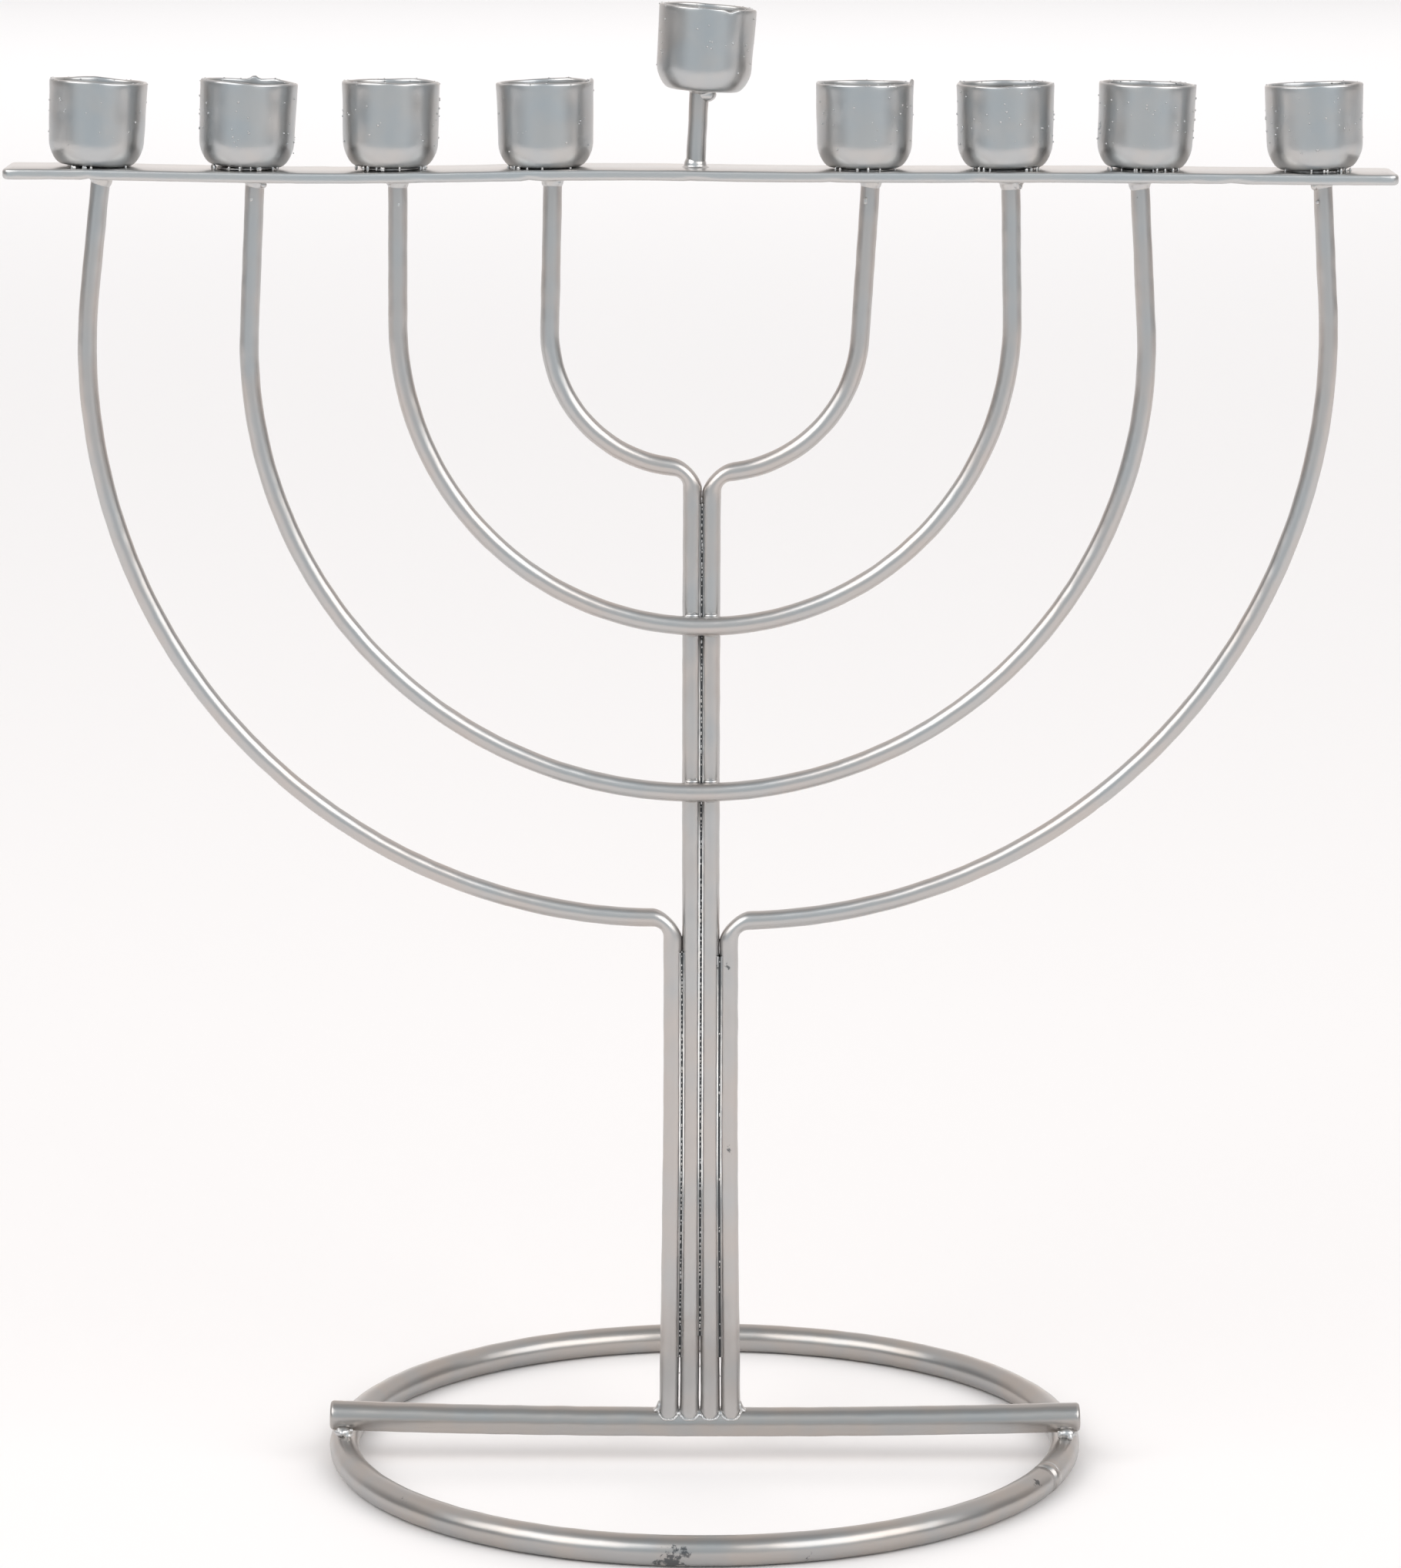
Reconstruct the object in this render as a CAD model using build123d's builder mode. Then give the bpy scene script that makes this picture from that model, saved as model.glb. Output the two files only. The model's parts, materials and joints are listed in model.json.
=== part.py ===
from build123d import *
from math import atan2, cos, degrees, radians, sin
import os

# Nine-light wire menorah, welded from bent round wire and painted.
# Millimetres, +Z up, front towards -Y. Origin: on the floor, under the middle of the object.

# Stock
wire_d = 2.5
rod_d = 4.0

# Base: a flat ring of rod, bent slightly oval, and a crossbar of the same rod welded across it
base_x = 1.1
ring_long = 49.9
ring_short = 48.9
ring_end_r = 48.4
ring_turn = 54.0
seam_share = 0.937
seam_gap = 0.6
bar_y = -4.1
bar_half = 50.9
bar_end_z = 6.35
bar_sag = 0.85
bar_edge_r = 0.5

# Stem: four wires side by side, spreading a little towards the foot
stem_x = 0.35
stem_y = bar_y - 0.5
wire_gap = 0.02
wire_pitch = wire_d + wire_gap
foot_pitch = 2.82
splay_run = 42.0
splay_r = 200.0
elbow_r = 2.6

# Arms: elbow height, elbow turn, reach radius and reach turn of each wire
outer_left_bends = (73.1, 89.4, 75.2, 95.8)
outer_right_bends = (72.7, 88.6, 77.7, 92.2)
inner_left_bends = (133.75, 84.9, 18.1, 86.3)
inner_right_bends = (133.1, 84.4, 18.9, 80.9)

# Arcs: a U of one wire each, welded across the front of the stem.
# Left leg's place at the strip, its outward lean and length, then the arc's radius and turn
arc_y = stem_y - wire_d - 0.05
wide_arc_bends = (-57.85, 2.8, 19.6, 58.7, 186.3)
narrow_arc_bends = (-39.35, 0.4, 18.4, 40.15, 181.7)

# Top strip
strip_length = 181.3
strip_depth = 11.5
strip_t = 1.4
strip_y = -5.5
strip_under = 174.3
strip_top = strip_under + strip_t
strip_corner_r = 1.2
strip_edge_r = 0.45

# Candle cups: sheet cups with a rounded bottom corner
cup_height = 11.0
cup_rim_r = 6.35
cup_wall_r = 6.12
cup_bore_r = 5.75
cup_floor = 0.6
cup_corner_r = 3.0
cup_lift = 0.25
cup_weld_r = 3.0
cup_places = ((-78.85, 3.0), (-59.2, 2.8), (-40.4, 0.9), (-20.15, -0.6),
              (21.4, 0.0), (39.75, -0.5), (57.85, 1.6), (80.15, -2.2))

# Shamash: the ninth cup, on a short leaning post in the middle
post_x = -0.65
post_lean = 3.0
shamash_lean = 3.9
shamash_x = 0.3
shamash_z = strip_top + 10.2

# Welds
weld_throat = 0.1
bead_proud = 0.1
arm_weld_r = 1.9
arm_weld_drop = 1.8
foot_weld_r = 1.9
foot_weld_rise = 1.3
foot_weld_skirt = 0.8
bar_weld_r = 1.3
bar_weld_length = 2.6
bar_weld_inset = 2.2
bar_weld_forward = 1.7
bar_weld_rise = 0.2
arc_weld_size = (4.6, 1.7, 2.6)
arc_weld_edge_r = 0.8
post_weld_r = 1.75
post_weld_rise = 1.4
shamash_weld_r = 1.75

stem_plane = Plane.XZ.offset(-stem_y)
arc_plane = Plane.XZ.offset(-arc_y)


def save(builder, name):
    builder.part.label = name
    export_step(builder.part, f"parts/{name}.step")


def upright(x, y, z, lean):
    """A plane at the point, its normal leaning from +Z towards +X by the angle."""
    slope = radians(lean)
    return Plane((x, y, z), x_dir=(cos(slope), 0, -sin(slope)), z_dir=(sin(slope), 0, cos(slope)))


def run_to_strip(last):
    """The straight end of a leg, carried on just into the strip, which trims it."""
    start = last @ 1
    heading = last % 1
    rise = strip_under + strip_t / 2 - start.Z
    return Line(start, start + heading * (rise / heading.Z))


def arm_route(side, place, bends):
    """Centreline of an arm, from its foot up the stem, round the elbow and out to the strip.

    side is -1 for left and 1 for right, and place counts the wires out from the middle.
    """
    elbow_z, elbow_turn, reach_r, reach_turn = bends
    foot_x = stem_x + side * (place + 0.5) * foot_pitch
    top_x = stem_x + side * (place + 0.5) * wire_pitch
    lean = degrees(atan2(foot_x - top_x, splay_run))
    with BuildLine(stem_plane) as route:
        splay = PolarLine((foot_x, bar_end_z - bar_sag), splay_run, 90 + lean)
        ease = JernArc(splay @ 1, splay % 1, splay_r, -lean)
        stem = Line(ease @ 1, Vector((ease @ 1).X, stem_y, elbow_z))
        elbow = JernArc(stem @ 1, stem % 1, elbow_r, -side * elbow_turn)
        reach = JernArc(elbow @ 1, elbow % 1, reach_r, side * reach_turn)
        run_to_strip(reach)
    return route.wire()


def arc_route(bends):
    """Centreline of a U-shaped arc, from its left leg round to its right one."""
    left_x, lean, leg, radius, turn = bends
    overrun = strip_t / 2
    with BuildLine(arc_plane) as route:
        left = PolarLine((left_x, strip_under + overrun), leg + overrun, -90 - lean)
        bowl = JernArc(left @ 1, left % 1, radius, turn)
        run_to_strip(bowl)
    return route.wire()


def ring_route():
    """An oval of four tangent arcs: two tight ones at the ends of its long axis, two wide ones."""
    end_x = ring_long - ring_end_r
    side_r = (ring_short**2 + end_x**2 - ring_end_r**2) / (2 * (ring_short - ring_end_r))
    half = degrees(atan2(end_x, side_r - ring_short))
    across = (cos(radians(ring_turn)), sin(radians(ring_turn)), 0)
    with BuildLine(Plane((base_x, 0, rod_d / 2), x_dir=across, z_dir=(0, 0, 1))) as route:
        CenterArc((end_x, 0), ring_end_r, half - 90, 180 - 2 * half)
        CenterArc((0, ring_short - side_r), side_r, 90 - half, 2 * half)
        CenterArc((-end_x, 0), ring_end_r, 90 + half, 180 - 2 * half)
        CenterArc((0, side_r - ring_short), side_r, 270 - half, 2 * half)
    return route.wire()


def tube_along(route, diameter):
    """A round bar along a route, added to the open part."""
    with BuildSketch(Plane(route @ 0, z_dir=route % 0)) as section:
        Circle(diameter / 2)
    sweep(section.sketch, path=route)


def cut_with(*others):
    for other in others:
        add(other.part, mode=Mode.SUBTRACT)


def weld_cone(seat, low_r, high_r, height):
    """A conical weld round a wire, rising from its seat's plane."""
    with Locations(seat):
        Cone(low_r, high_r, height, align=(Align.CENTER, Align.CENTER, Align.MIN))


def cup_body(seat):
    """A cup on its seat's plane: a tapered outside with a round corner, and a straight bore."""
    profile_plane = Plane(seat.origin, x_dir=seat.x_dir, z_dir=-seat.y_dir)
    inner_corner_r = cup_corner_r - cup_floor
    with BuildSketch(profile_plane) as wall:
        with BuildLine():
            Polyline((0, 0), (cup_wall_r, 0), (cup_rim_r, cup_height), (cup_bore_r, cup_height),
                     (cup_bore_r, cup_floor), (0, cup_floor), close=True)
        make_face()
        fillet(wall.vertices().sort_by_distance((cup_wall_r, 0))[0], cup_corner_r)
        fillet(wall.vertices().sort_by_distance((cup_bore_r, cup_floor))[0], inner_corner_r)
    revolve(wall.sketch, axis=Axis(seat.origin, seat.z_dir))


os.makedirs("parts", exist_ok=True)

# Base crossbar: straight rod, sagging slightly in the middle, ends dressed round
with BuildPart() as base_crossbar:
    with BuildLine(Plane.XZ.offset(-bar_y)) as bar_line:
        ThreePointArc((base_x - bar_half, bar_end_z), (base_x, bar_end_z - bar_sag),
                      (base_x + bar_half, bar_end_z))
    tube_along(bar_line.wire(), rod_d)
    fillet(base_crossbar.edges().filter_by(GeomType.CIRCLE).group_by(Axis.X)[0], bar_edge_r)
    fillet(base_crossbar.edges().filter_by(GeomType.CIRCLE).group_by(Axis.X)[-1], bar_edge_r)
save(base_crossbar, "base_crossbar")

# Base ring: rod bent round, open at the seam where its butt weld goes
ring_path = ring_route()
seam_plane = Plane(ring_path @ seam_share, x_dir=(0, 0, 1), z_dir=ring_path % seam_share)
with BuildPart() as base_ring:
    tube_along(ring_path, rod_d)
    with BuildSketch(seam_plane):
        Rectangle(2 * rod_d, 2 * rod_d)
    extrude(amount=seam_gap / 2, both=True, mode=Mode.SUBTRACT)
save(base_ring, "base_ring")

# Butt weld: a bead slightly prouder than the rod, flush with it underneath
bead_r = rod_d / 2 + bead_proud
with BuildPart() as ring_butt_weld:
    with BuildSketch(seam_plane):
        with Locations((bead_r - rod_d / 2, 0)):
            Circle(bead_r)
    extrude(amount=seam_gap / 2, both=True)
save(ring_butt_weld, "ring_butt_weld")

# Top strip: flat bar with rounded corners and eased edges
with BuildPart() as top_strip:
    with BuildSketch(Plane((0, strip_y, strip_under))):
        RectangleRounded(strip_length, strip_depth, strip_corner_r)
    extrude(amount=strip_t)
    fillet(top_strip.faces().filter_by(Axis.Z).edges(), strip_edge_r)
save(top_strip, "top_strip")

# Four arms: each wire is one half of an arc and one wire of the stem
arm_bends = {
    "outer_arm_left": (-1, 1, outer_left_bends),
    "outer_arm_right": (1, 1, outer_right_bends),
    "inner_arm_left": (-1, 0, inner_left_bends),
    "inner_arm_right": (1, 0, inner_right_bends),
}
arms = {}
wire_tops = []
for name, (side, place, bends) in arm_bends.items():
    arm_path = arm_route(side, place, bends)
    with BuildPart() as arm:
        tube_along(arm_path, wire_d)
        cut_with(base_crossbar, top_strip)
    save(arm, name)
    arms[name] = arm
    wire_tops.append((arm_path @ 1, arm))

# Two arcs: whole U-shaped wires in front of the stem
arcs = {}
for name, bends in {"wide_arc": wide_arc_bends, "narrow_arc": narrow_arc_bends}.items():
    arc_path = arc_route(bends)
    with BuildPart() as arc:
        tube_along(arc_path, wire_d)
        cut_with(top_strip)
    save(arc, name)
    arcs[name] = (arc, arc_path)
    wire_tops.append((arc_path @ 0, arc))
    wire_tops.append((arc_path @ 1, arc))

# Arm welds: a flared fillet round each wire under the strip, numbered from the left
wire_tops.sort(key=lambda top: top[0].X)
for number, (top, wire) in enumerate(wire_tops, start=1):
    under = Plane((top.X, top.Y, strip_under), x_dir=(1, 0, 0), z_dir=(0, 0, -1))
    with BuildPart() as arm_weld:
        weld_cone(under, arm_weld_r, wire_d / 2 + weld_throat, arm_weld_drop)
        cut_with(wire)
    save(arm_weld, f"arm_weld_{number}")

# Arc welds: where each arc crosses the two wires of the upper stem
for name, (arc, arc_path) in arcs.items():
    crossing_z = (arc_path @ 0.5).Z
    with BuildPart() as arc_weld:
        with Locations((stem_x, (stem_y + arc_y) / 2, crossing_z)):
            Box(*arc_weld_size)
        fillet(arc_weld.edges().filter_by(Axis.Y), arc_weld_edge_r)
        cut_with(arc, *arms.values())
    save(arc_weld, f"{name}_weld")

# Stem foot weld: cones round the four feet, joined along the top of the crossbar
bar_top = bar_end_z - bar_sag + rod_d / 2
foot_weld_z = bar_top - foot_weld_skirt
with BuildPart() as stem_foot_weld:
    for place in (-1.5, -0.5, 0.5, 1.5):
        foot = Plane((stem_x + place * foot_pitch, stem_y, foot_weld_z))
        weld_cone(foot, foot_weld_r, wire_d / 2 + weld_throat, foot_weld_skirt + foot_weld_rise)
    cut_with(base_crossbar, *arms.values())
save(stem_foot_weld, "stem_foot_weld")

# Crossbar welds: a drop of weld under the front of each end, which holds the crossbar
# just clear of the ring
for name, side in {"bar_weld_left": -1, "bar_weld_right": 1}.items():
    with BuildPart() as bar_weld:
        spot_x = base_x + side * (bar_half - bar_weld_inset)
        with Locations((spot_x, bar_y - bar_weld_forward, rod_d + bar_weld_rise)):
            Cylinder(bar_weld_r, bar_weld_length, rotation=(0, 90, 0))
        fillet(bar_weld.edges(), bar_weld_r / 2)
        cut_with(base_crossbar, base_ring)
    save(bar_weld, name)

# Candle cups, each leaning its own way, on a small disc of weld
for number, (cup_x, lean) in enumerate(cup_places, start=1):
    with BuildPart() as candle_cup:
        cup_body(upright(cup_x, strip_y, strip_top + cup_lift, lean))
    save(candle_cup, f"candle_cup_{number}")
    with BuildPart() as cup_weld:
        with BuildSketch(Plane((cup_x, strip_y, strip_top))):
            Circle(cup_weld_r)
        extrude(amount=cup_lift + cup_floor / 2)
        cut_with(candle_cup)
    save(cup_weld, f"cup_weld_{number}")

# Shamash cup and its post
with BuildPart() as shamash_cup:
    cup_body(upright(shamash_x, strip_y, shamash_z, shamash_lean))
save(shamash_cup, "shamash_cup")

post_seat = upright(post_x, strip_y, strip_top, post_lean)
post_rise = shamash_z - strip_top + cup_floor / 2
with BuildPart() as shamash_post:
    with BuildSketch(post_seat.offset(-strip_t / 2)):
        Circle(wire_d / 2)
    extrude(amount=strip_t / 2 + post_rise)
    cut_with(top_strip, shamash_cup)
save(shamash_post, "shamash_post")

with BuildPart() as post_foot_weld:
    weld_cone(Plane((post_x, strip_y, strip_top)), post_weld_r, wire_d / 2 + weld_throat, post_weld_rise)
    cut_with(shamash_post)
save(post_foot_weld, "post_foot_weld")

with BuildPart() as shamash_cup_weld:
    with Locations((shamash_x, strip_y, shamash_z - shamash_weld_r + cup_floor / 2)):
        Sphere(shamash_weld_r)
    cut_with(shamash_post, shamash_cup)
save(shamash_cup_weld, "shamash_cup_weld")
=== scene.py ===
import json
from math import asin, atan2, cos, exp, pi, radians, sin
from random import Random

import bmesh
import bpy
from mathutils import Matrix, Vector, noise


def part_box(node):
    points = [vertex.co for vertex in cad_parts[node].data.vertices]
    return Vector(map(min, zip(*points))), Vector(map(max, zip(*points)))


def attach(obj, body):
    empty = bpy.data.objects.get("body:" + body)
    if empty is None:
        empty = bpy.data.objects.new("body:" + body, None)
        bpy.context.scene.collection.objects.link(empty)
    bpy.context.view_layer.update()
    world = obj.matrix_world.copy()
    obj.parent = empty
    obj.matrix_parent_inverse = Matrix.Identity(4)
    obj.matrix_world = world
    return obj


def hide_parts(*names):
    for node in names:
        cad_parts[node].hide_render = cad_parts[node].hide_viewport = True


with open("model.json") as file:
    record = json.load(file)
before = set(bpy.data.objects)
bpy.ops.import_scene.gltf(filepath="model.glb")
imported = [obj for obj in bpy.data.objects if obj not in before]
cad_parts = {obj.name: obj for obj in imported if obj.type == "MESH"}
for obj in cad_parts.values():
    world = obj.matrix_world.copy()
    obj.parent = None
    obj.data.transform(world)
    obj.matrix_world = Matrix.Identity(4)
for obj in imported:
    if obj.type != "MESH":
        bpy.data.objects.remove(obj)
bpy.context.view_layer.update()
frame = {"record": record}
mm = 0.001
front = Vector((0, -1, 0))


# ---- Base ring ----
# A 4 mm mild steel rod rolled into a ring that came out slightly oval, resting on the floor.
# The whole lamp is dipped in aluminium paint, so every part shares its grey, lightly grained skin; the rod's
# copy of it is set darker as painted shade.

rod_r = 2.0 * mm
rod_sides = 28
ring_r = 49.3 * mm
ring_oval = 0.45 * mm
ring_long_axis = radians(54)
seam_angle = radians(-23)
seam_gap = 0.6 * mm
ring_steps = 300

# How far hand bending moves the metal from its true line, and over what length it does so
sway = 0.10 * mm
sway_length = 45 * mm


def colour(code):
    """An sRGB hex value as the linear colour that a shader takes."""
    shares = [int(code[at:at + 2], 16) / 255 for at in (1, 3, 5)]
    linear = [s / 12.92 if s <= 0.04045 else ((s + 0.055) / 1.055) ** 2.4 for s in shares]
    return linear + [1.0]


def add_node(tree, kind, inputs=None, **settings):
    """A shader node with its settings. inputs holds values, or sockets to link from."""
    node = tree.nodes.new("ShaderNode" + kind)
    for setting, value in settings.items():
        setattr(node, setting, value)
    for socket, value in (inputs or {}).items():
        if isinstance(value, bpy.types.NodeSocket):
            tree.links.new(value, node.inputs[socket])
        else:
            node.inputs[socket].default_value = value
    return node


def aluminium_paint(name, tone, patch, scuff, patch_size, scuff_share, dimple=0.012 * mm, knocks=()):
    """Aluminium flake paint over steel, dipped and hung to dry.

    Flakes make it reflect like a dull metal. It is thicker in soft patches, has a slight
    orange-peel skin, and is chipped dark where it has been knocked: each knock is a place and a
    reach.
    """
    grain_size = 0.45 * mm
    peel_size = 2.2 * mm
    scuff_size = 1.8 * mm
    scuff_edge = 0.05
    knock_strength = 0.3
    material = bpy.data.materials.new(name)
    material.use_nodes = True
    tree = material.node_tree
    tree.nodes.clear()
    where = add_node(tree, "TexCoord").outputs["Object"]
    patches = add_node(tree, "TexNoise", {"Vector": where, "Scale": 1 / patch_size, "Detail": 2.0})
    grain = add_node(tree, "TexNoise", {"Vector": where, "Scale": 1 / grain_size, "Detail": 1.0})
    peel = add_node(tree, "TexNoise", {"Vector": where, "Scale": 1 / peel_size, "Detail": 1.0})
    rubs = add_node(tree, "TexNoise", {"Vector": where, "Scale": 1 / scuff_size, "Detail": 6.0,
                                       "Roughness": 0.65})
    patchy = add_node(tree, "MapRange", {"Value": patches.outputs["Fac"], "From Min": 0.38,
                                         "From Max": 0.62})
    base = add_node(tree, "Mix", {"Factor": patchy.outputs["Result"], "A": colour(tone),
                                  "B": colour(patch)}, data_type="RGBA")
    wear = rubs.outputs["Fac"]
    for place, reach in knocks:
        away = add_node(tree, "VectorMath", {0: where, 1: [part * mm for part in place]},
                        operation="DISTANCE")
        near = add_node(tree, "MapRange", {"Value": away.outputs["Value"], "From Max": reach * mm,
                                           "To Min": knock_strength, "To Max": 0.0})
        wear = add_node(tree, "Math", {0: wear, 1: near.outputs["Result"]}).outputs["Value"]
    rubbed = add_node(tree, "MapRange", {"Value": wear, "From Min": scuff_share,
                                         "From Max": scuff_share + scuff_edge})
    worn = add_node(tree, "Mix", {"Factor": rubbed.outputs["Result"], "A": base.outputs["Result"],
                                  "B": colour(scuff)}, data_type="RGBA")
    rough = add_node(tree, "MapRange", {"Value": grain.outputs["Fac"], "From Min": 0.3,
                                        "From Max": 0.7, "To Min": 0.285, "To Max": 0.315})
    skin = add_node(tree, "Bump", {"Height": peel.outputs["Fac"], "Distance": dimple})
    shader = add_node(tree, "BsdfPrincipled", {"Metallic": 0.96, "Base Color": worn.outputs["Result"],
                                               "Roughness": rough.outputs["Result"],
                                               "Normal": skin.outputs["Normal"]})
    add_node(tree, "OutputMaterial", {"Surface": shader.outputs["BSDF"]})
    return material


def make_piece(bm, name, material):
    """A closed, smooth-shaded piece from its mesh, in its place on the lamp."""
    bmesh.ops.remove_doubles(bm, verts=bm.verts, dist=0.001 * mm)
    bmesh.ops.recalc_face_normals(bm, faces=bm.faces)
    mesh = bpy.data.meshes.new(name)
    bm.to_mesh(mesh)
    bm.free()
    mesh.shade_smooth()
    mesh.materials.append(material)
    piece = bpy.data.objects.new(name, mesh)
    bpy.context.scene.collection.objects.link(piece)
    return piece


def work_by_hand(bm, ripple, ripple_length):
    """Moves the surface off its true line: the long sway of bending, and a ripple of paint."""
    bm.normal_update()
    for vert in bm.verts:
        place = vert.co.copy()
        vert.co += noise.noise_vector(place / sway_length) * sway
        vert.co += vert.normal * noise.noise(place / ripple_length) * ripple


def closed_end(bm, drawn):
    """The rim that a spin ends on, closed with a cap."""
    rim = [item for item in drawn["geom_last"] if isinstance(item, bmesh.types.BMEdge)]
    bmesh.ops.edgeloop_fill(bm, edges=rim)
    return rim


ring_low, ring_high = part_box("base_ring")
ring_middle = (ring_low + ring_high) / 2
ring_knocks = [((-3.5, -51.0, 1.0), 5.0), ((14.5, -49.0, 1.2), 3.4),
               ((-37.5, -31.5, 2.6), 3.6), ((44.6, -24.0, 2.8), 2.4)]
# Painted shade: the ring and crossbar take a darker copy of the same paint than the wires, standing in for
# shade on the rod
shaded_rod_paint = aluminium_paint("aluminium_paint_on_rod_with_painted_shade", "#AEADAC", "#B4AEA9", "#646566", 7 * mm, 0.74,
                             knocks=ring_knocks)

ring_bm = bmesh.new()
seam_half = seam_gap / 2 / ring_r
section_place = (Matrix.Rotation(seam_angle + seam_half, 4, "Z")
                 @ Matrix.Translation((ring_r, 0, 0)) @ Matrix.Rotation(pi / 2, 4, "X"))
bmesh.ops.create_circle(ring_bm, cap_ends=True, segments=rod_sides, radius=rod_r, matrix=section_place)
rolled = bmesh.ops.spin(ring_bm, geom=ring_bm.edges[:], cent=(0, 0, 0), axis=(0, 0, 1),
                        angle=2 * (pi - seam_half), steps=ring_steps)
closed_end(ring_bm, rolled)
oval_axes = Matrix.Rotation(-ring_long_axis, 4, "Z")
bmesh.ops.scale(ring_bm, vec=(1 + ring_oval / ring_r, 1 - ring_oval / ring_r, 1), space=oval_axes,
                verts=ring_bm.verts)
bmesh.ops.translate(ring_bm, vec=(ring_middle.x, ring_middle.y, rod_r), verts=ring_bm.verts)
work_by_hand(ring_bm, 0.05 * mm, 3.2 * mm)
for vert in ring_bm.verts:
    vert.co.z = max(vert.co.z, 0.0)
base_ring = make_piece(ring_bm, "rolled_base_ring", shaded_rod_paint)
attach(base_ring, "root")
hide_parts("base_ring")


# ---- Butt weld of the ring ----
# Where the two ends of the rod meet, at the right of the front: a lumpy collar of weld metal,
# ground back a little and painted over.

weld_paint = aluminium_paint("aluminium_paint_on_weld", "#C6C6C6", "#CBC8C5", "#696A6B", 1.6 * mm, 0.66,
                             0.06 * mm)


def plain_drop(sides):
    """A round drop of radius 1, to be copied."""
    bm = bmesh.new()
    bmesh.ops.create_uvsphere(bm, u_segments=sides, v_segments=sides * 5 // 8, radius=1)
    mesh = bpy.data.meshes.new("drop")
    bm.to_mesh(mesh)
    bm.free()
    return mesh


small_drop = plain_drop(8)
large_drop = plain_drop(20)


def add_bead(bm, place, size, drop=large_drop):
    """A closed drop of metal or paint, with a radius for each direction."""
    bead = drop.copy()
    bead.transform(Matrix.Translation(place) @ Matrix.Diagonal((*size, 1)))
    bm.from_mesh(bead)
    bpy.data.meshes.remove(bead)


def add_spatter(bm, place, spread, smallest, largest, count, draw):
    """Beads of weld thrown round a place."""
    for _ in range(count):
        throw = Vector([draw.uniform(-1, 1) * reach for reach in spread])
        size = draw.uniform(smallest, largest)
        wide, tall = draw.uniform(0.8, 1.3), draw.uniform(0.8, 1.3)
        add_bead(bm, place + throw, (size * wide, size, size * tall))


def melt_together(piece, grain):
    """Melts a weld's separate beads into one skin, as the arc does."""
    pool = piece.modifiers.new("pool", "REMESH")
    pool.mode = "VOXEL"
    pool.voxel_size = grain
    pool.use_smooth_shade = True
    settle = piece.modifiers.new("settle", "SMOOTH")
    settle.factor = 0.5
    settle.iterations = 3


butt_low, butt_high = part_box("ring_butt_weld")
butt_middle = (butt_low + butt_high) / 2
butt_bm = bmesh.new()
collar_turn = Matrix.Rotation(seam_angle, 4, "Z")
collar = Matrix.Translation((butt_middle.x, butt_middle.y, rod_r + 0.05 * mm)) @ collar_turn
bmesh.ops.create_uvsphere(butt_bm, u_segments=24, v_segments=14, radius=1,
                          matrix=collar @ Matrix.Diagonal((2.02 * mm, 0.8 * mm, 2.02 * mm, 1)))
butt_draw = Random(7)
add_spatter(butt_bm, Vector((butt_middle.x + 0.4 * mm, butt_middle.y - 1.1 * mm, rod_r + 0.9 * mm)),
            (1.0 * mm, 0.5 * mm, 0.5 * mm), 0.25 * mm, 0.5 * mm, 6, butt_draw)
for vert in butt_bm.verts:
    vert.co.z = max(vert.co.z, 0.0)
butt_weld = make_piece(butt_bm, "ring_butt_weld_bead", weld_paint)
melt_together(butt_weld, 0.14 * mm)
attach(butt_weld, "root")
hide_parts("ring_butt_weld")


# ---- Crossbar ----
# A length of the same rod across the ring, held just clear of it by its end welds. Welding the
# stem on has pulled its middle down, and its sawn ends are dressed round with a file.

bar_sag = 0.85 * mm
bar_steps = 110
filed_edge = 0.5 * mm

bar_low, bar_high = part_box("base_crossbar")
bar_y = (bar_low.y + bar_high.y) / 2
bar_half = (bar_high.x - bar_low.x) / 2
bar_middle_x = (bar_high.x + bar_low.x) / 2
bar_middle_z = bar_low.z + rod_r
bar_bow_r = (bar_half ** 2 + bar_sag ** 2) / (2 * bar_sag)
bar_bow_half = asin(bar_half / bar_bow_r)

bar_bm = bmesh.new()
bow_centre = Vector((bar_middle_x, bar_y, bar_middle_z + bar_bow_r))
section_place = (Matrix.Translation(bow_centre) @ Matrix.Rotation(bar_bow_half, 4, "Y")
                 @ Matrix.Translation((0, 0, -bar_bow_r)) @ Matrix.Rotation(pi / 2, 4, "Y"))
bmesh.ops.create_circle(bar_bm, cap_ends=True, segments=rod_sides, radius=rod_r, matrix=section_place)
sawn_end = bar_bm.edges[:]
drawn = bmesh.ops.spin(bar_bm, geom=sawn_end, cent=bow_centre, axis=front,
                       angle=2 * bar_bow_half, steps=bar_steps)
sawn_end += closed_end(bar_bm, drawn)
bmesh.ops.bevel(bar_bm, geom=sawn_end, offset=filed_edge, affect="EDGES", segments=4, profile=0.5,
                material=-1)
work_by_hand(bar_bm, 0.05 * mm, 3.0 * mm)
crossbar = make_piece(bar_bm, "sagging_crossbar", shaded_rod_paint)
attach(crossbar, "root")
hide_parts("base_crossbar")


# ---- Crossbar welds ----
# A few quick spots of weld in the corner between the crossbar and the ring, left as they fell.

for side, node in ((-1, "bar_weld_left"), (1, "bar_weld_right")):
    low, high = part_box(node)
    spot = (low + high) / 2 + Vector((side * 0.4 * mm, 0, 0))
    draw = Random(11 + side)
    spot_bm = bmesh.new()
    add_bead(spot_bm, spot, (1.15 * mm, 0.8 * mm, 0.75 * mm))
    add_spatter(spot_bm, spot, (1.1 * mm, 0.6 * mm, 0.6 * mm), 0.2 * mm, 0.45 * mm, 16, draw)
    bar_weld = make_piece(spot_bm, node + "_spots", weld_paint)
    melt_together(bar_weld, 0.12 * mm)
    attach(bar_weld, "root")
    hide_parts(node)


# ---- Arms ----
# Four 2.5 mm wires stand side by side as the stem. Each turns out sharply at its elbow, flattened
# there by the bending pin, and sweeps up to the strip.

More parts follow.
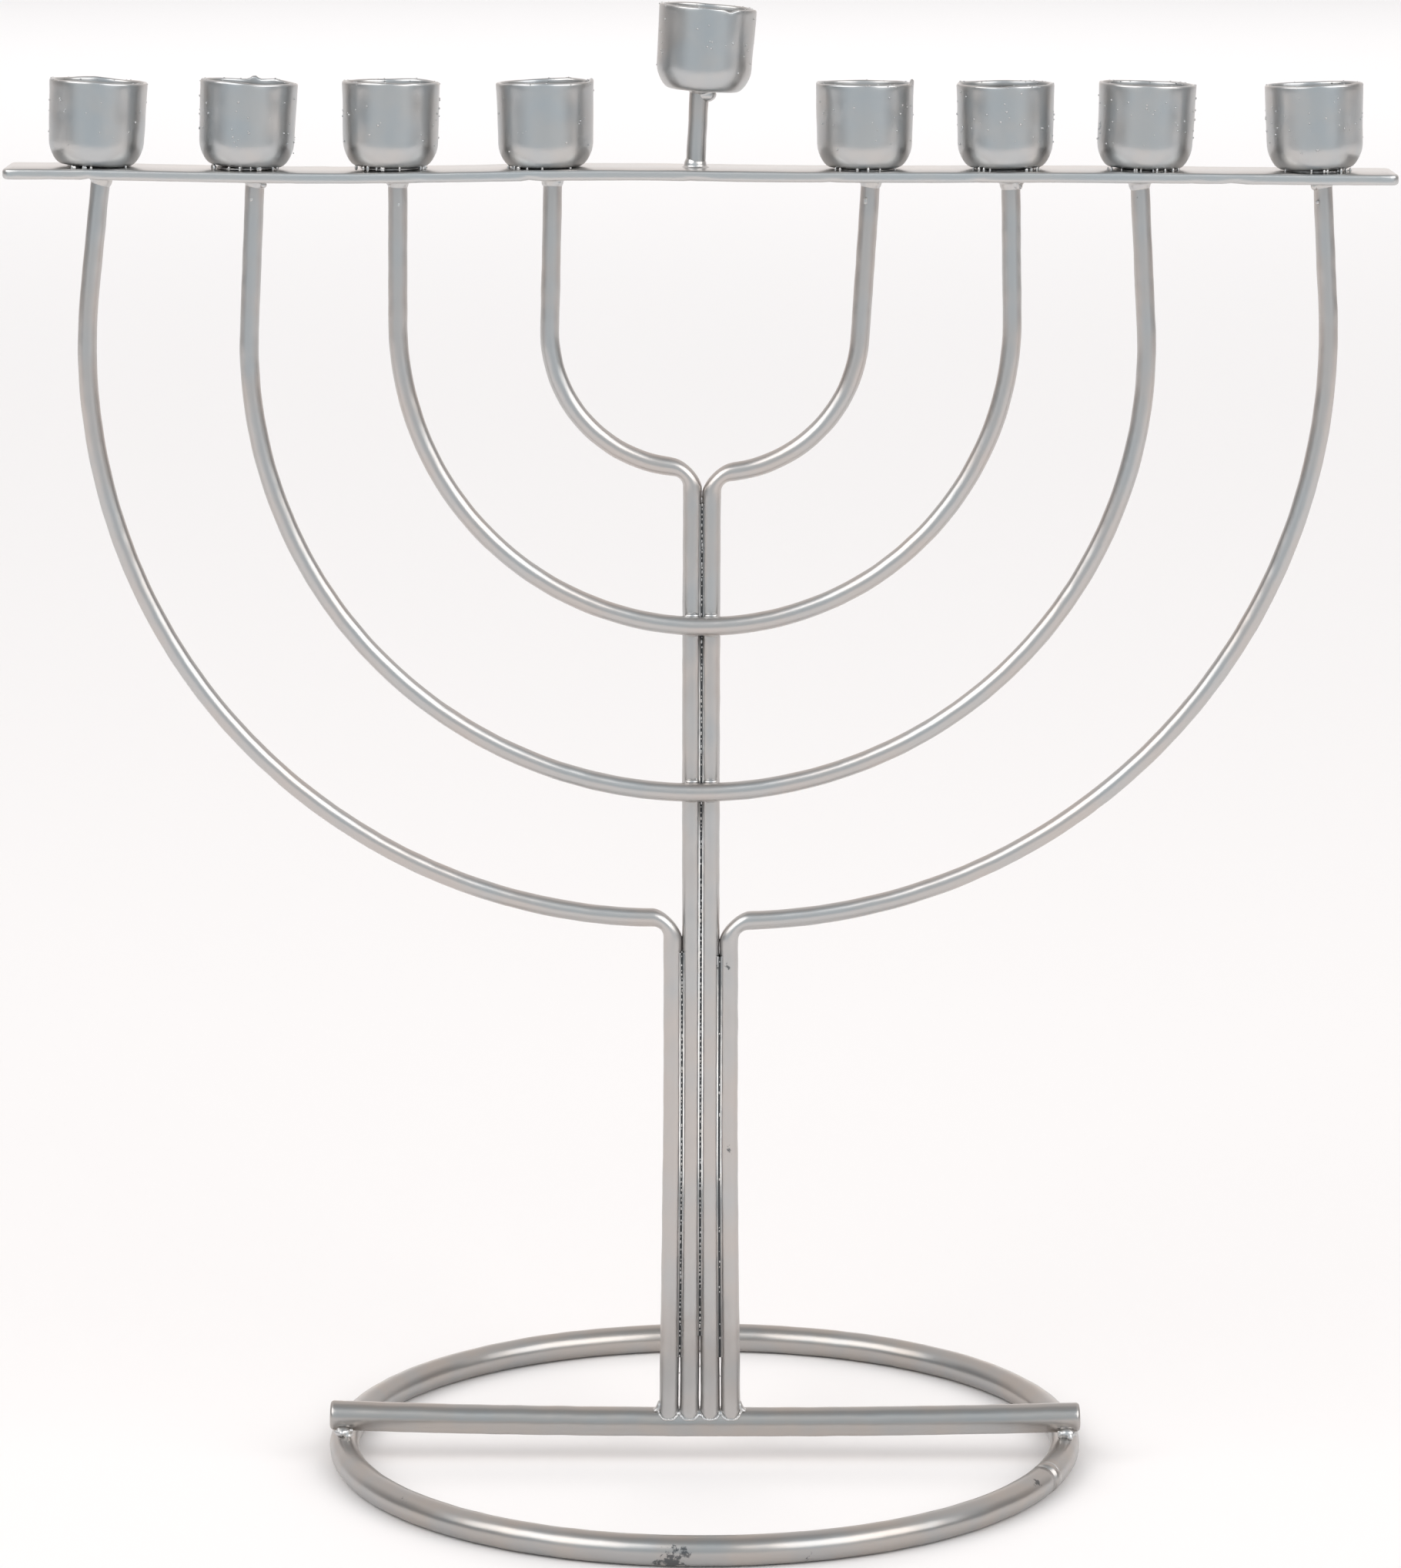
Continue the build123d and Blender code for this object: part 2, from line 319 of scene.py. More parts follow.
wire_r = 1.25 * mm
wire_sides = 24
wire_step = 0.7 * mm
foot_pitch = 2.82 * mm
stem_pitch = 2.52 * mm
splay_run = 42 * mm
splay_r = 200 * mm
elbow_r = 2.6 * mm
elbow_squash = 0.18
foot_swell = 0.1 * mm
foot_swell_top = 24 * mm
bend_step = 6
elbow_zone = 2.2 * elbow_r
wire_ripple = 0.045 * mm
wire_ripple_length = 2.6 * mm
strip_overlap = 0.7 * mm

# For each arm: side, place out from the middle, elbow height and turn, reach radius and turn
arm_bends = {
    "outer_arm_left": (-1, 1, 73.1 * mm, 89.4, 75.2 * mm, 95.8),
    "outer_arm_right": (1, 1, 72.7 * mm, 88.6, 77.7 * mm, 92.2),
    "inner_arm_left": (-1, 0, 133.75 * mm, 84.9, 18.1 * mm, 86.3),
    "inner_arm_right": (1, 0, 133.1 * mm, 84.4, 18.9 * mm, 80.9),
}
wire_knocks = [((4.2, -5.8, 44.0), 1.8), ((4.2, -5.9, 69.0), 1.6), ((9.0, -5.2, 71.0), 1.6)]
wire_paint = aluminium_paint("aluminium_paint_on_wire", "#BDBCBB", "#C2BCB8", "#6E6F70", 9 * mm, 0.76,
                             knocks=wire_knocks)


def bent_wire(start, heading, runs, top):
    """A round wire bent in an upright plane, drawn from its start up to a height.

    Each run is (length, turn): straight, or an arc turning by so many degrees anticlockwise as
    seen from the front. A last straight run takes it to the top.
    """
    bm = bmesh.new()
    place = start.copy()
    square_on = Matrix.Translation(place) @ heading.to_track_quat("Z", "Y").to_matrix().to_4x4()
    bmesh.ops.create_circle(bm, cap_ends=True, segments=wire_sides, radius=wire_r, matrix=square_on)
    rim = bm.edges[:]
    for length, turn in (*runs, (None, 0)):
        if length is None:
            length = (top - place.z) / heading.z
        steps = max(1, round(length / wire_step))
        if turn:
            steps = max(steps, round(abs(turn) / bend_step))
            bend_r = length / radians(turn)
            centre = place + front.cross(heading) * bend_r
            bend = Matrix.Rotation(radians(turn), 3, front)
            drawn = bmesh.ops.spin(bm, geom=rim, cent=centre, axis=front, angle=radians(turn),
                                   steps=steps)
            place = centre + bend @ (place - centre)
            heading = bend @ heading
        else:
            drawn = bmesh.ops.spin(bm, geom=rim, cent=place, axis=front, dvec=heading * (length / steps),
                                   steps=steps)
            place = place + heading * length
        rim = [item for item in drawn["geom_last"] if isinstance(item, bmesh.types.BMEdge)]
    bmesh.ops.edgeloop_fill(bm, edges=rim)
    bmesh.ops.recalc_face_normals(bm, faces=bm.faces)
    return bm


def flatten_elbow(bm, centre, side):
    """Squashes the bend of an elbow towards the pin it was pulled round."""
    for vert in bm.verts:
        out = Vector((vert.co.x - centre.x, 0, vert.co.z - centre.z))
        if out.length < elbow_zone:
            angle = atan2(out.z, -side * out.x)
            share = max(0.0, sin(2 * angle)) if 0 < angle < pi / 2 else 0.0
            vert.co += out.normalized() * (elbow_r - wire_r - out.length) * elbow_squash * share


wire_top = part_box("top_strip")[0].z + strip_overlap
for name, (side, place, elbow_z, elbow_turn, reach_r, reach_turn) in arm_bends.items():
    low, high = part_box(name)
    stem_y = (low.y + high.y) / 2
    stem_x = high.x - wire_r if side < 0 else low.x + wire_r
    foot_x = stem_x + side * (place + 0.5) * (foot_pitch - stem_pitch)
    lean = atan2(stem_x - foot_x, splay_run)
    splay_top = bar_middle_z + (splay_run + splay_r * abs(sin(lean))) * cos(lean)
    runs = [(splay_run, 0), (splay_r * abs(lean), side * -abs(lean) * 180 / pi),
            (elbow_z - splay_top, 0), (elbow_r * radians(elbow_turn), -side * elbow_turn),
            (reach_r * radians(reach_turn), side * reach_turn)]
    arm_bm = bent_wire(Vector((foot_x, stem_y, bar_middle_z)), Vector((sin(lean), 0, cos(lean))), runs,
                       wire_top)
    flatten_elbow(arm_bm, Vector((stem_x + side * elbow_r, stem_y, elbow_z)), side)
    arm_bm.normal_update()
    for vert in arm_bm.verts:
        vert.co += vert.normal * foot_swell * max(0.0, 1 - vert.co.z / foot_swell_top)
    work_by_hand(arm_bm, wire_ripple, wire_ripple_length)
    arm = make_piece(arm_bm, name + "_wire", wire_paint)
    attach(arm, "root")
    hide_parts(name)


# ---- Arcs ----
# The two middle pairs of lights share a wire each: a U bent round a former and laid across the
# front of the stem.

# For each arc: how far its left leg leans outwards, then the bowl's radius and turn
arc_bends = {
    "wide_arc": (2.8, 58.7 * mm, 186.3),
    "narrow_arc": (0.4, 40.15 * mm, 181.7),
}

for name, (lean, bowl_r, bowl_turn) in arc_bends.items():
    low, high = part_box(name)
    heading = Vector((-sin(radians(lean)), 0, -cos(radians(lean))))
    bowl_middle = Vector((low.x + wire_r + bowl_r, (low.y + high.y) / 2, low.z + wire_r + bowl_r))
    bowl_start = bowl_middle - front.cross(heading) * bowl_r
    leg = (bowl_start.z - wire_top) / heading.z
    runs = [(leg, 0), (bowl_r * radians(bowl_turn), bowl_turn)]
    arc_bm = bent_wire(bowl_start - heading * leg, heading, runs, wire_top)
    work_by_hand(arc_bm, wire_ripple, wire_ripple_length)
    arc = make_piece(arc_bm, name + "_wire", wire_paint)
    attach(arc, "root")
    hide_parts(name)


# ---- Arc welds ----
# Resistance welds where each arc crosses the two inner wires: metal squeezed out above and below.

for node in ("wide_arc_weld", "narrow_arc_weld"):
    low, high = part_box(node)
    spot = (low + high) / 2
    draw = Random(len(node))
    spot_bm = bmesh.new()
    for side in (-1, 1):
        for rise in (-1, 1):
            corner = spot + Vector((side * stem_pitch / 2, 0.1 * mm, rise * 1.2 * mm))
            add_bead(spot_bm, corner, (0.95 * mm, 0.6 * mm, 0.42 * mm))
            add_spatter(spot_bm, corner, (0.8 * mm, 0.15 * mm, 0.3 * mm), 0.16 * mm, 0.3 * mm, 4, draw)
    arc_weld = make_piece(spot_bm, node + "_spots", weld_paint)
    melt_together(arc_weld, 0.1 * mm)
    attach(arc_weld, "root")
    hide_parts(node)


# ---- Paint runs in the stem ----
# Paint fills most of each groove between the stem wires. A dark strip down its middle is painted
# shade, set where the deep groove falls into shade, with small dried drops along it. Near the feet the wires
# part and it ends.

groove_fill = Vector((0.85 * mm, 1.8 * mm, 0))
# Section of the dark strip of painted shade down each groove
groove_shade_section = Vector((0.34 * mm, 1.84 * mm, 0))
droplet_pitch = 0.62 * mm
droplet_depth = 0.92 * mm
slits_top = {-1: 15 * mm, 0: 18 * mm, 1: 15 * mm}
groove_low = 11 * mm
groove_tops = {-1: 71.0 * mm, 0: 131.5 * mm, 1: 70.5 * mm}
groove_drops = {-1: 0.95, 0: 0.95, 1: 0.25}
slit_drops = 0.12

# Painted shade for the grooves: a near-black matt colour, softly mottled, standing for the shade deep
# between the wires
groove_shade_paint = bpy.data.materials.new("painted_shade_in_groove")
groove_shade_paint.use_nodes = True
tree = groove_shade_paint.node_tree
tree.nodes.clear()
shade_mottle = add_node(tree, "TexNoise", {"Vector": add_node(tree, "TexCoord").outputs["Object"],
                                            "Scale": 0.4 / mm, "Detail": 2.0})
shade_colour = add_node(tree, "Mix", {"Factor": shade_mottle.outputs["Fac"], "A": colour("#222426"),
                                 "B": colour("#404244")}, data_type="RGBA")
shade_surface = add_node(tree, "BsdfPrincipled", {"Base Color": shade_colour.outputs["Result"], "Roughness": 0.7})
add_node(tree, "OutputMaterial", {"Surface": shade_surface.outputs[0]})

stem_middle = (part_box("inner_arm_left")[1].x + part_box("inner_arm_right")[0].x) / 2
draw = Random(3)
runs_bm = bmesh.new()
groove_shade_bm = bmesh.new()
for groove, groove_top in groove_tops.items():
    for low_end, high_end in ((slits_top[groove], splay_run), (splay_run, groove_top)):
        fill_middle = Vector((stem_middle + groove * stem_pitch, stem_y, (high_end + low_end) / 2))
        for bm, section in ((runs_bm, groove_fill), (groove_shade_bm, groove_shade_section)):
            fill_size = section + Vector((0, 0, high_end - low_end))
            bar = bmesh.ops.create_cube(bm, size=1, matrix=Matrix.LocRotScale(fill_middle, None, fill_size))
            for vert in bar["verts"]:
                vert.co.x += groove * max(0.0, splay_run - vert.co.z) / splay_run * (foot_pitch - stem_pitch)
    height = groove_low
    while height < groove_top:
        height += droplet_pitch * draw.uniform(0.7, 1.4)
        parted = max(0.0, splay_run - height) / splay_run * (foot_pitch - stem_pitch)
        for face in (-1, 1):
            share = groove_drops[groove] if height > slits_top[groove] else slit_drops
            if draw.random() > share:
                continue
            drop = Vector((stem_middle + groove * (stem_pitch + parted) + draw.uniform(-0.04, 0.04) * mm,
                           stem_y + face * droplet_depth * draw.uniform(0.9, 1.1), height))
            size = draw.uniform(0.06, 0.11) * mm
            add_bead(runs_bm, drop, (size, size, size * draw.uniform(1.3, 3.0)), small_drop)
paint_runs = make_piece(runs_bm, "stem_paint_runs", weld_paint)
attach(paint_runs, "root")
groove_shade_strips = make_piece(groove_shade_bm, "stem_groove_painted_shade", groove_shade_paint)
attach(groove_shade_strips, "root")


# ---- Foot weld ----
# One weld round all four feet of the stem: it climbs each wire a little and lies along the top
# of the crossbar between them.

fillet_beads = 44
fillet_r = 0.2 * mm
fillet_square = 0.22 * mm
flank_beads = 7
flank_reach = 0.6 * mm
flank_rise = 1.1 * mm
fillet_gap = 0.06 * mm

draw = Random(5)
foot_bm = bmesh.new()
for place in (-1.5, -0.5, 0.5, 1.5):
    foot = Vector((stem_middle + place * foot_pitch, stem_y, bar_middle_z))
    for step in range(fillet_beads):
        angle = 2 * pi * (step + draw.uniform(-0.3, 0.3)) / fillet_beads
        reach = wire_r + fillet_gap + fillet_square * sin(2 * angle) ** 2
        bead = foot + Vector((cos(angle), sin(angle), 0)) * reach
        bead.z += max(0.0, rod_r ** 2 - (bead.y - bar_y) ** 2) ** 0.5
        size = fillet_r * draw.uniform(0.75, 1.15)
        add_bead(foot_bm, bead, (size, size, size))
for side in (-1, 1):
    wire_edge = Vector((stem_middle + side * (1.5 * foot_pitch + wire_r), stem_y, bar_middle_z + rod_r))
    for step in range(flank_beads):
        share = step / (flank_beads - 1)
        climb = flank_rise * (1 - share) ** 2
        add_bead(foot_bm, wire_edge + Vector((side * flank_reach * share, 0, climb / 2 - 0.15 * mm)),
                 (0.3 * mm, 0.8 * mm, climb / 2 + 0.22 * mm))
foot_weld = make_piece(foot_bm, "stem_foot_weld_run", weld_paint)
melt_together(foot_weld, 0.1 * mm)
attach(foot_weld, "root")
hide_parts("stem_foot_weld")


# ---- Top strip ----
# Mild steel flat with sheared ends and rolled edges, never quite straight. The lower front edge is
# nicked where it has been knocked.

strip_corner_r = 1.2 * mm
strip_edge_r = 0.42 * mm
strip_slack = 0.15 * mm
strip_cut = 1.0 * mm
nick_depth = 0.22 * mm
nick_length = 2.6 * mm

# Where the heat of welding has pulled the strip up or down: place, rise and reach along it
strip_pulls = [(-85 * mm, 0.1 * mm, 12 * mm), (-51 * mm, -0.3 * mm, 20 * mm), (-12 * mm, 0.22 * mm, 18 * mm),
               (88 * mm, -0.15 * mm, 22 * mm)]

strip_paint = aluminium_paint("aluminium_paint_on_strip", "#C3C4C4", "#C8C6C4", "#77787A", 8 * mm, 0.76)
low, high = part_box("top_strip")
strip_top = high.z
strip_size = high - low - Vector((2 * strip_slack, 0, 0))
strip_bm = bmesh.new()
bmesh.ops.create_cube(strip_bm, size=1)
bmesh.ops.scale(strip_bm, vec=strip_size, verts=strip_bm.verts)
bmesh.ops.translate(strip_bm, vec=(low + high) / 2, verts=strip_bm.verts)
corners = [edge for edge in strip_bm.edges
           if abs(edge.verts[0].co.z - edge.verts[1].co.z) > strip_size.z / 2]
bmesh.ops.bevel(strip_bm, geom=corners, offset=strip_corner_r, affect="EDGES", segments=4, profile=0.5,
                material=-1)
outline = [edge for edge in strip_bm.edges
           if abs(edge.verts[0].co.z - edge.verts[1].co.z) < strip_size.z / 2]
bmesh.ops.bevel(strip_bm, geom=outline, offset=strip_edge_r, affect="EDGES", segments=3, profile=0.5,
                material=-1)
cut_x = low.x + 2 * strip_corner_r
while cut_x < high.x - 2 * strip_corner_r:
    bmesh.ops.bisect_plane(strip_bm, geom=strip_bm.verts[:] + strip_bm.edges[:] + strip_bm.faces[:],
                           plane_co=(cut_x, 0, 0), plane_no=(1, 0, 0))
    cut_x += strip_cut
for vert in strip_bm.verts:
    if vert.co.y < low.y + strip_edge_r * 1.1 and vert.co.z < low.z + strip_edge_r * 1.1:
        nick = max(0.0, noise.noise(vert.co / nick_length) - 0.25) / 0.5
        vert.co += Vector((0, nick_depth, nick_depth)) * nick
    for place, rise, reach in strip_pulls:
        vert.co.z += rise * exp(-((vert.co.x - place) / reach) ** 2)
work_by_hand(strip_bm, 0.05 * mm, 4.0 * mm)
strip = make_piece(strip_bm, "top_strip_flat", strip_paint)
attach(strip, "root")
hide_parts("top_strip")


# ---- Arm welds ----
# The wires are butted up to the underside of the strip and welded round: a flare that narrows
# downwards, wrinkled where the bead was put on, with a stray drop or two below.

for number in range(1, 9):
    node = f"arm_weld_{number}"
    low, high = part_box(node)
    under = Vector(((low.x + high.x) / 2, (low.y + high.y) / 2, high.z))
    draw = Random(20 + number)
    flare_bm = bmesh.new()
    add_bead(flare_bm, under, (1.8 * mm, 1.8 * mm, 0.5 * mm))
    add_bead(flare_bm, under + Vector((0, 0, -0.3 * mm)), (1.45 * mm, 1.45 * mm, 1.5 * mm))
    add_spatter(flare_bm, under + Vector((0, -0.5 * mm, -0.4 * mm)), (1.2 * mm, 0.8 * mm, 0.3 * mm),
                0.25 * mm, 0.5 * mm, 5, draw)
    for _ in range(draw.choice((0, 1, 1, 2))):
        stray = Vector((draw.uniform(-0.8, 0.8), -1.05, -draw.uniform(2.0, 3.5))) * mm
        add_bead(flare_bm, under + stray, (0.3 * mm, 0.25 * mm, 0.35 * mm))
    arm_weld = make_piece(flare_bm, node + "_flare", weld_paint)
    melt_together(arm_weld, 0.12 * mm)
    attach(arm_weld, "root")
    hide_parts(node)


# ---- Candle cups ----
# Small cups pressed from thin steel sheet, with a rounded foot and a rim left as it was cut:
# uneven, burred, and beaded with paint. Grit caught under the paint stands out as bright specks.

cup_height = 10.85 * mm
cup_rim_r = 6.35 * mm
cup_wall_r = 6.12 * mm
cup_bore_r = 5.75 * mm
cup_floor = 0.6 * mm
cup_corner_r = 3.0 * mm
cup_foot_spread = 0.4
cup_lip_r = 0.26 * mm
bore_middle = 7.0 * mm
cup_sides = 96
cup_courses = 14
rim_waver = 0.1 * mm
waver_length = 5 * mm
rim_burr = 0.02 * mm
burr_length = 1.1 * mm
speck_counts = (36, 60, 44, 20, 34, 64, 76, 52, 44)
rim_bead_count = 30
rim_zone = 0.85

# Where a rim stands up or dips: direction in degrees from the right, counted towards the back,
# then the height and the width in degrees
rim_faults = {
    "candle_cup_1": [(-90, 0.3 * mm, 180), (100, 0.15 * mm, 30)],
    "candle_cup_2": [(-90, 0.3 * mm, 180), (88, 0.6 * mm, 9), (-85, -0.1 * mm, 30), (60, 0.2 * mm, 25)],
    "candle_cup_3": [(-90, 0.3 * mm, 180), (-60, 0.12 * mm, 20), (60, 0.2 * mm, 60)],
    "candle_cup_4": [(-90, 0.3 * mm, 180), (5, 0.4 * mm, 24), (60, 0.3 * mm, 60), (-150, -0.1 * mm, 30)],
    "candle_cup_5": [(-90, 0.15 * mm, 180), (-8, 0.6 * mm, 9), (170, 0.15 * mm, 30)],
    "candle_cup_6": [(160, 0.15 * mm, 20), (-100, -0.12 * mm, 25)],
    "candle_cup_7": [(-90, 0.15 * mm, 180), (175, 0.12 * mm, 20)],
    "candle_cup_8": [(-90, 0.3 * mm, 180), (-30, 0.12 * mm, 25)],
    "shamash_cup": [(-62, -0.45 * mm, 12), (-95, 0.1 * mm, 20), (10, -0.2 * mm, 30)],
}
cup_paint = aluminium_paint("aluminium_paint_on_cup", "#BCBEBF", "#C2C0BE", "#77797A", 5 * mm, 0.8,
                            0.02 * mm)


def ring_edges(bm, radius, height):
    """The edges of a turned shape that run round it at a radius and a height."""
    def near(vert):
        reach = Vector((vert.co.x, vert.co.y)).length
        return abs(reach - radius) < 0.02 * mm and abs(vert.co.z - height) < 0.02 * mm
    return [edge for edge in bm.edges if near(edge.verts[0]) and near(edge.verts[1])]


def pressed_cup():
    """A cup on the origin, open upwards, with a round foot and a soft lip."""
    bm = bmesh.new()
    outline = [(0, 0), (cup_wall_r, 0), (cup_rim_r, cup_height), (cup_bore_r, cup_height),
               (cup_bore_r, cup_floor), (0, cup_floor)]
    points = [bm.verts.new((reach, 0, height)) for reach, height in outline]
    edges = [bm.edges.new(pair) for pair in zip(points, points[1:])]
    bmesh.ops.spin(bm, geom=edges, cent=(0, 0, 0), axis=(0, 0, 1), angle=2 * pi, steps=cup_sides,
                   use_merge=True)
    bmesh.ops.remove_doubles(bm, verts=bm.verts, dist=0.001 * mm)
    bmesh.ops.recalc_face_normals(bm, faces=bm.faces)
    for reach, height, offset, segments in (
            (cup_wall_r, 0, cup_corner_r, 8), (cup_bore_r, cup_floor, cup_corner_r - cup_floor, 6),
            (cup_rim_r, cup_height, cup_lip_r, 3), (cup_bore_r, cup_height, cup_lip_r, 3)):
        bmesh.ops.bevel(bm, geom=ring_edges(bm, reach, height), offset=offset, affect="EDGES",
                        segments=segments, profile=0.5, material=-1)
    for vert in bm.verts:
        reach = Vector((vert.co.x, vert.co.y, 0))
        share = max(0.0, 1 - vert.co.z / cup_corner_r)
        middle_kept = min(1.0, reach.length / mm)
        vert.co += reach.normalized() * (cup_wall_r - reach.length) * cup_foot_spread * share * middle_kept
    walls = [edge for edge in bm.edges if abs(edge.verts[0].co.z - edge.verts[1].co.z) > cup_height / 3]
    bmesh.ops.subdivide_edges(bm, edges=walls, cuts=cup_courses, use_grid_fill=True)
    return bm


def spoil_rim(bm, faults, shift):
    """Gives the rim the waver, burrs and faults of a rough cut."""
    for vert in bm.verts:
        share = (vert.co.z / cup_height - rim_zone) / 0.15
        if share > 0:
            round_rim = Vector((vert.co.x, vert.co.y, shift))
            rise = noise.noise(round_rim / waver_length) * rim_waver
            rise += noise.noise(round_rim / burr_length) * rim_burr
            direction = atan2(vert.co.y, vert.co.x)
            for angle, height, width in faults:
                off = abs((direction - radians(angle) + pi) % (2 * pi) - pi) / radians(width)
                rise += height * max(0.0, 1 - off) ** 1.5
            vert.co.z += rise * share ** 2
            vert.co += Vector((vert.co.x, vert.co.y, 0)).normalized() * rise * 0.15 * share


def add_specks(bm, count, draw):
    """Grit on the outer wall, and drops of paint along the lip."""
    lip = [vert.co.copy() for vert in bm.verts if vert.co.z > cup_height - 0.3 * mm
           and cup_bore_r < Vector((vert.co.x, vert.co.y)).length]
    for _ in range(count):
        direction = draw.uniform(-pi, pi)
        height = cup_height * draw.triangular(0.15, 0.95, 0.6)
        reach = cup_wall_r + (cup_rim_r - cup_wall_r) * height / cup_height
        size = draw.uniform(0.09, 0.16) * mm
        speck = Vector((reach * cos(direction), reach * sin(direction), height))
        add_bead(bm, speck, (size, size, size), small_drop)
    for _ in range(rim_bead_count):
        size = draw.uniform(0.07, 0.12) * mm
        add_bead(bm, draw.choice(lip), (size * draw.uniform(1, 1.4), size, size * 0.9), small_drop)


def place_cup(node, seat, axis, seed):
    """One cup, with a rim and specks of its own, set on its seat."""
    bm = pressed_cup()
    spoil_rim(bm, rim_faults[node], seed * 10 * mm)
    add_specks(bm, speck_counts[seed - 1], Random(40 + seed))
    upright = Vector((0, 0, 1)).rotation_difference(axis).to_matrix().to_4x4()
    bmesh.ops.transform(bm, matrix=Matrix.Translation(seat) @ upright, verts=bm.verts)
    work_by_hand(bm, 0.07 * mm, 3.6 * mm)
    return make_piece(bm, node + "_pressing", cup_paint)


bores = {mount["name"]: mount for mount in frame["record"]["mounts"]}
cup_seats = {}
for number in range(1, 9):
    node = f"candle_cup_{number}"
    bore = bores[f"cup_{number}_bore"]
    axis = Vector(bore["axis"])
    cup_seats[node] = Vector(bore["pos_m"]) - axis * bore_middle
    cup = place_cup(node, cup_seats[node], axis, number)
    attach(cup, "root")
    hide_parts(node)


# ---- Cup welds ----
# Each cup sits on a pad of weld on the strip. Where the weld boiled out, a row of small teeth
# bridges the gap under the front of the cup.

teeth = {1: 6, 2: 17, 3: 13, 4: 9, 5: 7, 6: 10, 7: 14, 8: 9}
teeth_r = 4.75 * mm

for number in range(1, 9):
    node = f"cup_weld_{number}"
    seat = cup_seats[f"candle_cup_{number}"]
    pad = Vector((seat.x, seat.y, strip_top))
    draw = Random(60 + number)
    pad_bm = bmesh.new()
    add_bead(pad_bm, pad, (4.0 * mm, 4.0 * mm, 0.5 * mm))
    for _ in range(teeth[number]):
        direction = radians(draw.uniform(-165, -15))
        reach = teeth_r + draw.uniform(-0.3, 0.3) * mm
        size = draw.uniform(0.14, 0.24) * mm
        foot = pad + Vector((reach * cos(direction), reach * sin(direction), 0.15 * mm))
        add_bead(pad_bm, foot, (size, size, draw.uniform(0.3, 0.5) * mm))
    cup_weld = make_piece(pad_bm, node + "_pad", weld_paint)
    melt_together(cup_weld, 0.11 * mm)
    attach(cup_weld, "root")
    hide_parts(node)


# ---- Shamash ----
# The ninth cup stands on a stub of wire welded to the strip, a little askew. Its foot has a
# flared weld, and a lump of weld shows under the cup on the right.

post_lean = radians(3.0)
shamash_bore = bores["shamash_bore"]
shamash_axis = Vector(shamash_bore["axis"])
shamash_seat = Vector(shamash_bore["pos_m"]) - shamash_axis * bore_middle
shamash = place_cup("shamash_cup", shamash_seat, shamash_axis, 9)
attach(shamash, "root")
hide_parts("shamash_cup")

low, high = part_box("post_foot_weld")
post_foot = Vector(((low.x + high.x) / 2, (low.y + high.y) / 2, strip_top - 0.6 * mm))
post_bm = bent_wire(post_foot, Vector((sin(post_lean), 0, cos(post_lean))), [],
                    shamash_seat.z + cup_floor / 2)
work_by_hand(post_bm, 0.06 * mm, 2.2 * mm)
post = make_piece(post_bm, "shamash_post_wire", wire_paint)
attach(post, "root")
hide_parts("shamash_post")

draw = Random(81)
flare_bm = bmesh.new()
add_bead(flare_bm, post_foot + Vector((0, 0, 0.6 * mm)), (2.0 * mm, 1.8 * mm, 0.45 * mm))
add_bead(flare_bm, post_foot + Vector((0, 0, 0.9 * mm)), (1.5 * mm, 1.45 * mm, 1.7 * mm))
add_spatter(flare_bm, post_foot + Vector((0, -0.4 * mm, 0.8 * mm)), (1.2 * mm, 0.8 * mm, 0.2 * mm),
            0.2 * mm, 0.4 * mm, 6, draw)
post_weld = make_piece(flare_bm, "post_foot_weld_flare", weld_paint)
melt_together(post_weld, 0.12 * mm)
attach(post_weld, "root")
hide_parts("post_foot_weld")

lump_bm = bmesh.new()
add_bead(lump_bm, shamash_seat + Vector((0, 0, -0.1 * mm)), (1.85 * mm, 1.8 * mm, 0.6 * mm))
add_bead(lump_bm, shamash_seat + Vector((0.45 * mm, -0.2 * mm, -0.6 * mm)), (1.35 * mm, 1.3 * mm, 1.0 * mm))
add_spatter(lump_bm, shamash_seat + Vector((0.7 * mm, -0.6 * mm, -0.5 * mm)), (0.7 * mm, 0.5 * mm, 0.5 * mm),
            0.2 * mm, 0.45 * mm, 6, draw)
cup_lump = make_piece(lump_bm, "shamash_cup_weld_lump", weld_paint)
melt_together(cup_lump, 0.12 * mm)
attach(cup_lump, "root")
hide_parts("shamash_cup_weld")


# ---- Floor, light and camera ----
# A sweep of matt white paper with its own light behind, one large soft light each side of the
# camera, and a pale room: cooler in front, warmer behind, darker overhead and at the sides.

floor_half = 3.0
floor_front = 0.5
softbox_distance = 2.5
softbox_size = (2.4, 1.6)
softbox_power = 26.5
backlight_size = (3.0, 1.4)
backlight_place = Vector((0, 3.0, 1.9))
backlight_power = 22.0
softboxes = {"left_softbox": (-127, 40), "right_softbox": (127, 34)}

floor_bm = bmesh.new()
bmesh.ops.create_grid(floor_bm, x_segments=1, y_segments=1, size=floor_half)
bmesh.ops.translate(floor_bm, vec=(0, floor_half - floor_front, 0), verts=floor_bm.verts)
floor_material = bpy.data.materials.new("matt_white_paper")
floor_material.use_nodes = True
floor_shader = floor_material.node_tree.nodes["Principled BSDF"]
floor_shader.inputs["Base Color"].default_value = colour("#F7F4F3")
floor_shader.inputs["Roughness"].default_value = 0.9
floor_shader.inputs["Specular IOR Level"].default_value = 0.1
floor = make_piece(floor_bm, "paper_sweep", floor_material)

scene = bpy.context.scene
scene.view_settings.view_transform = "Standard"

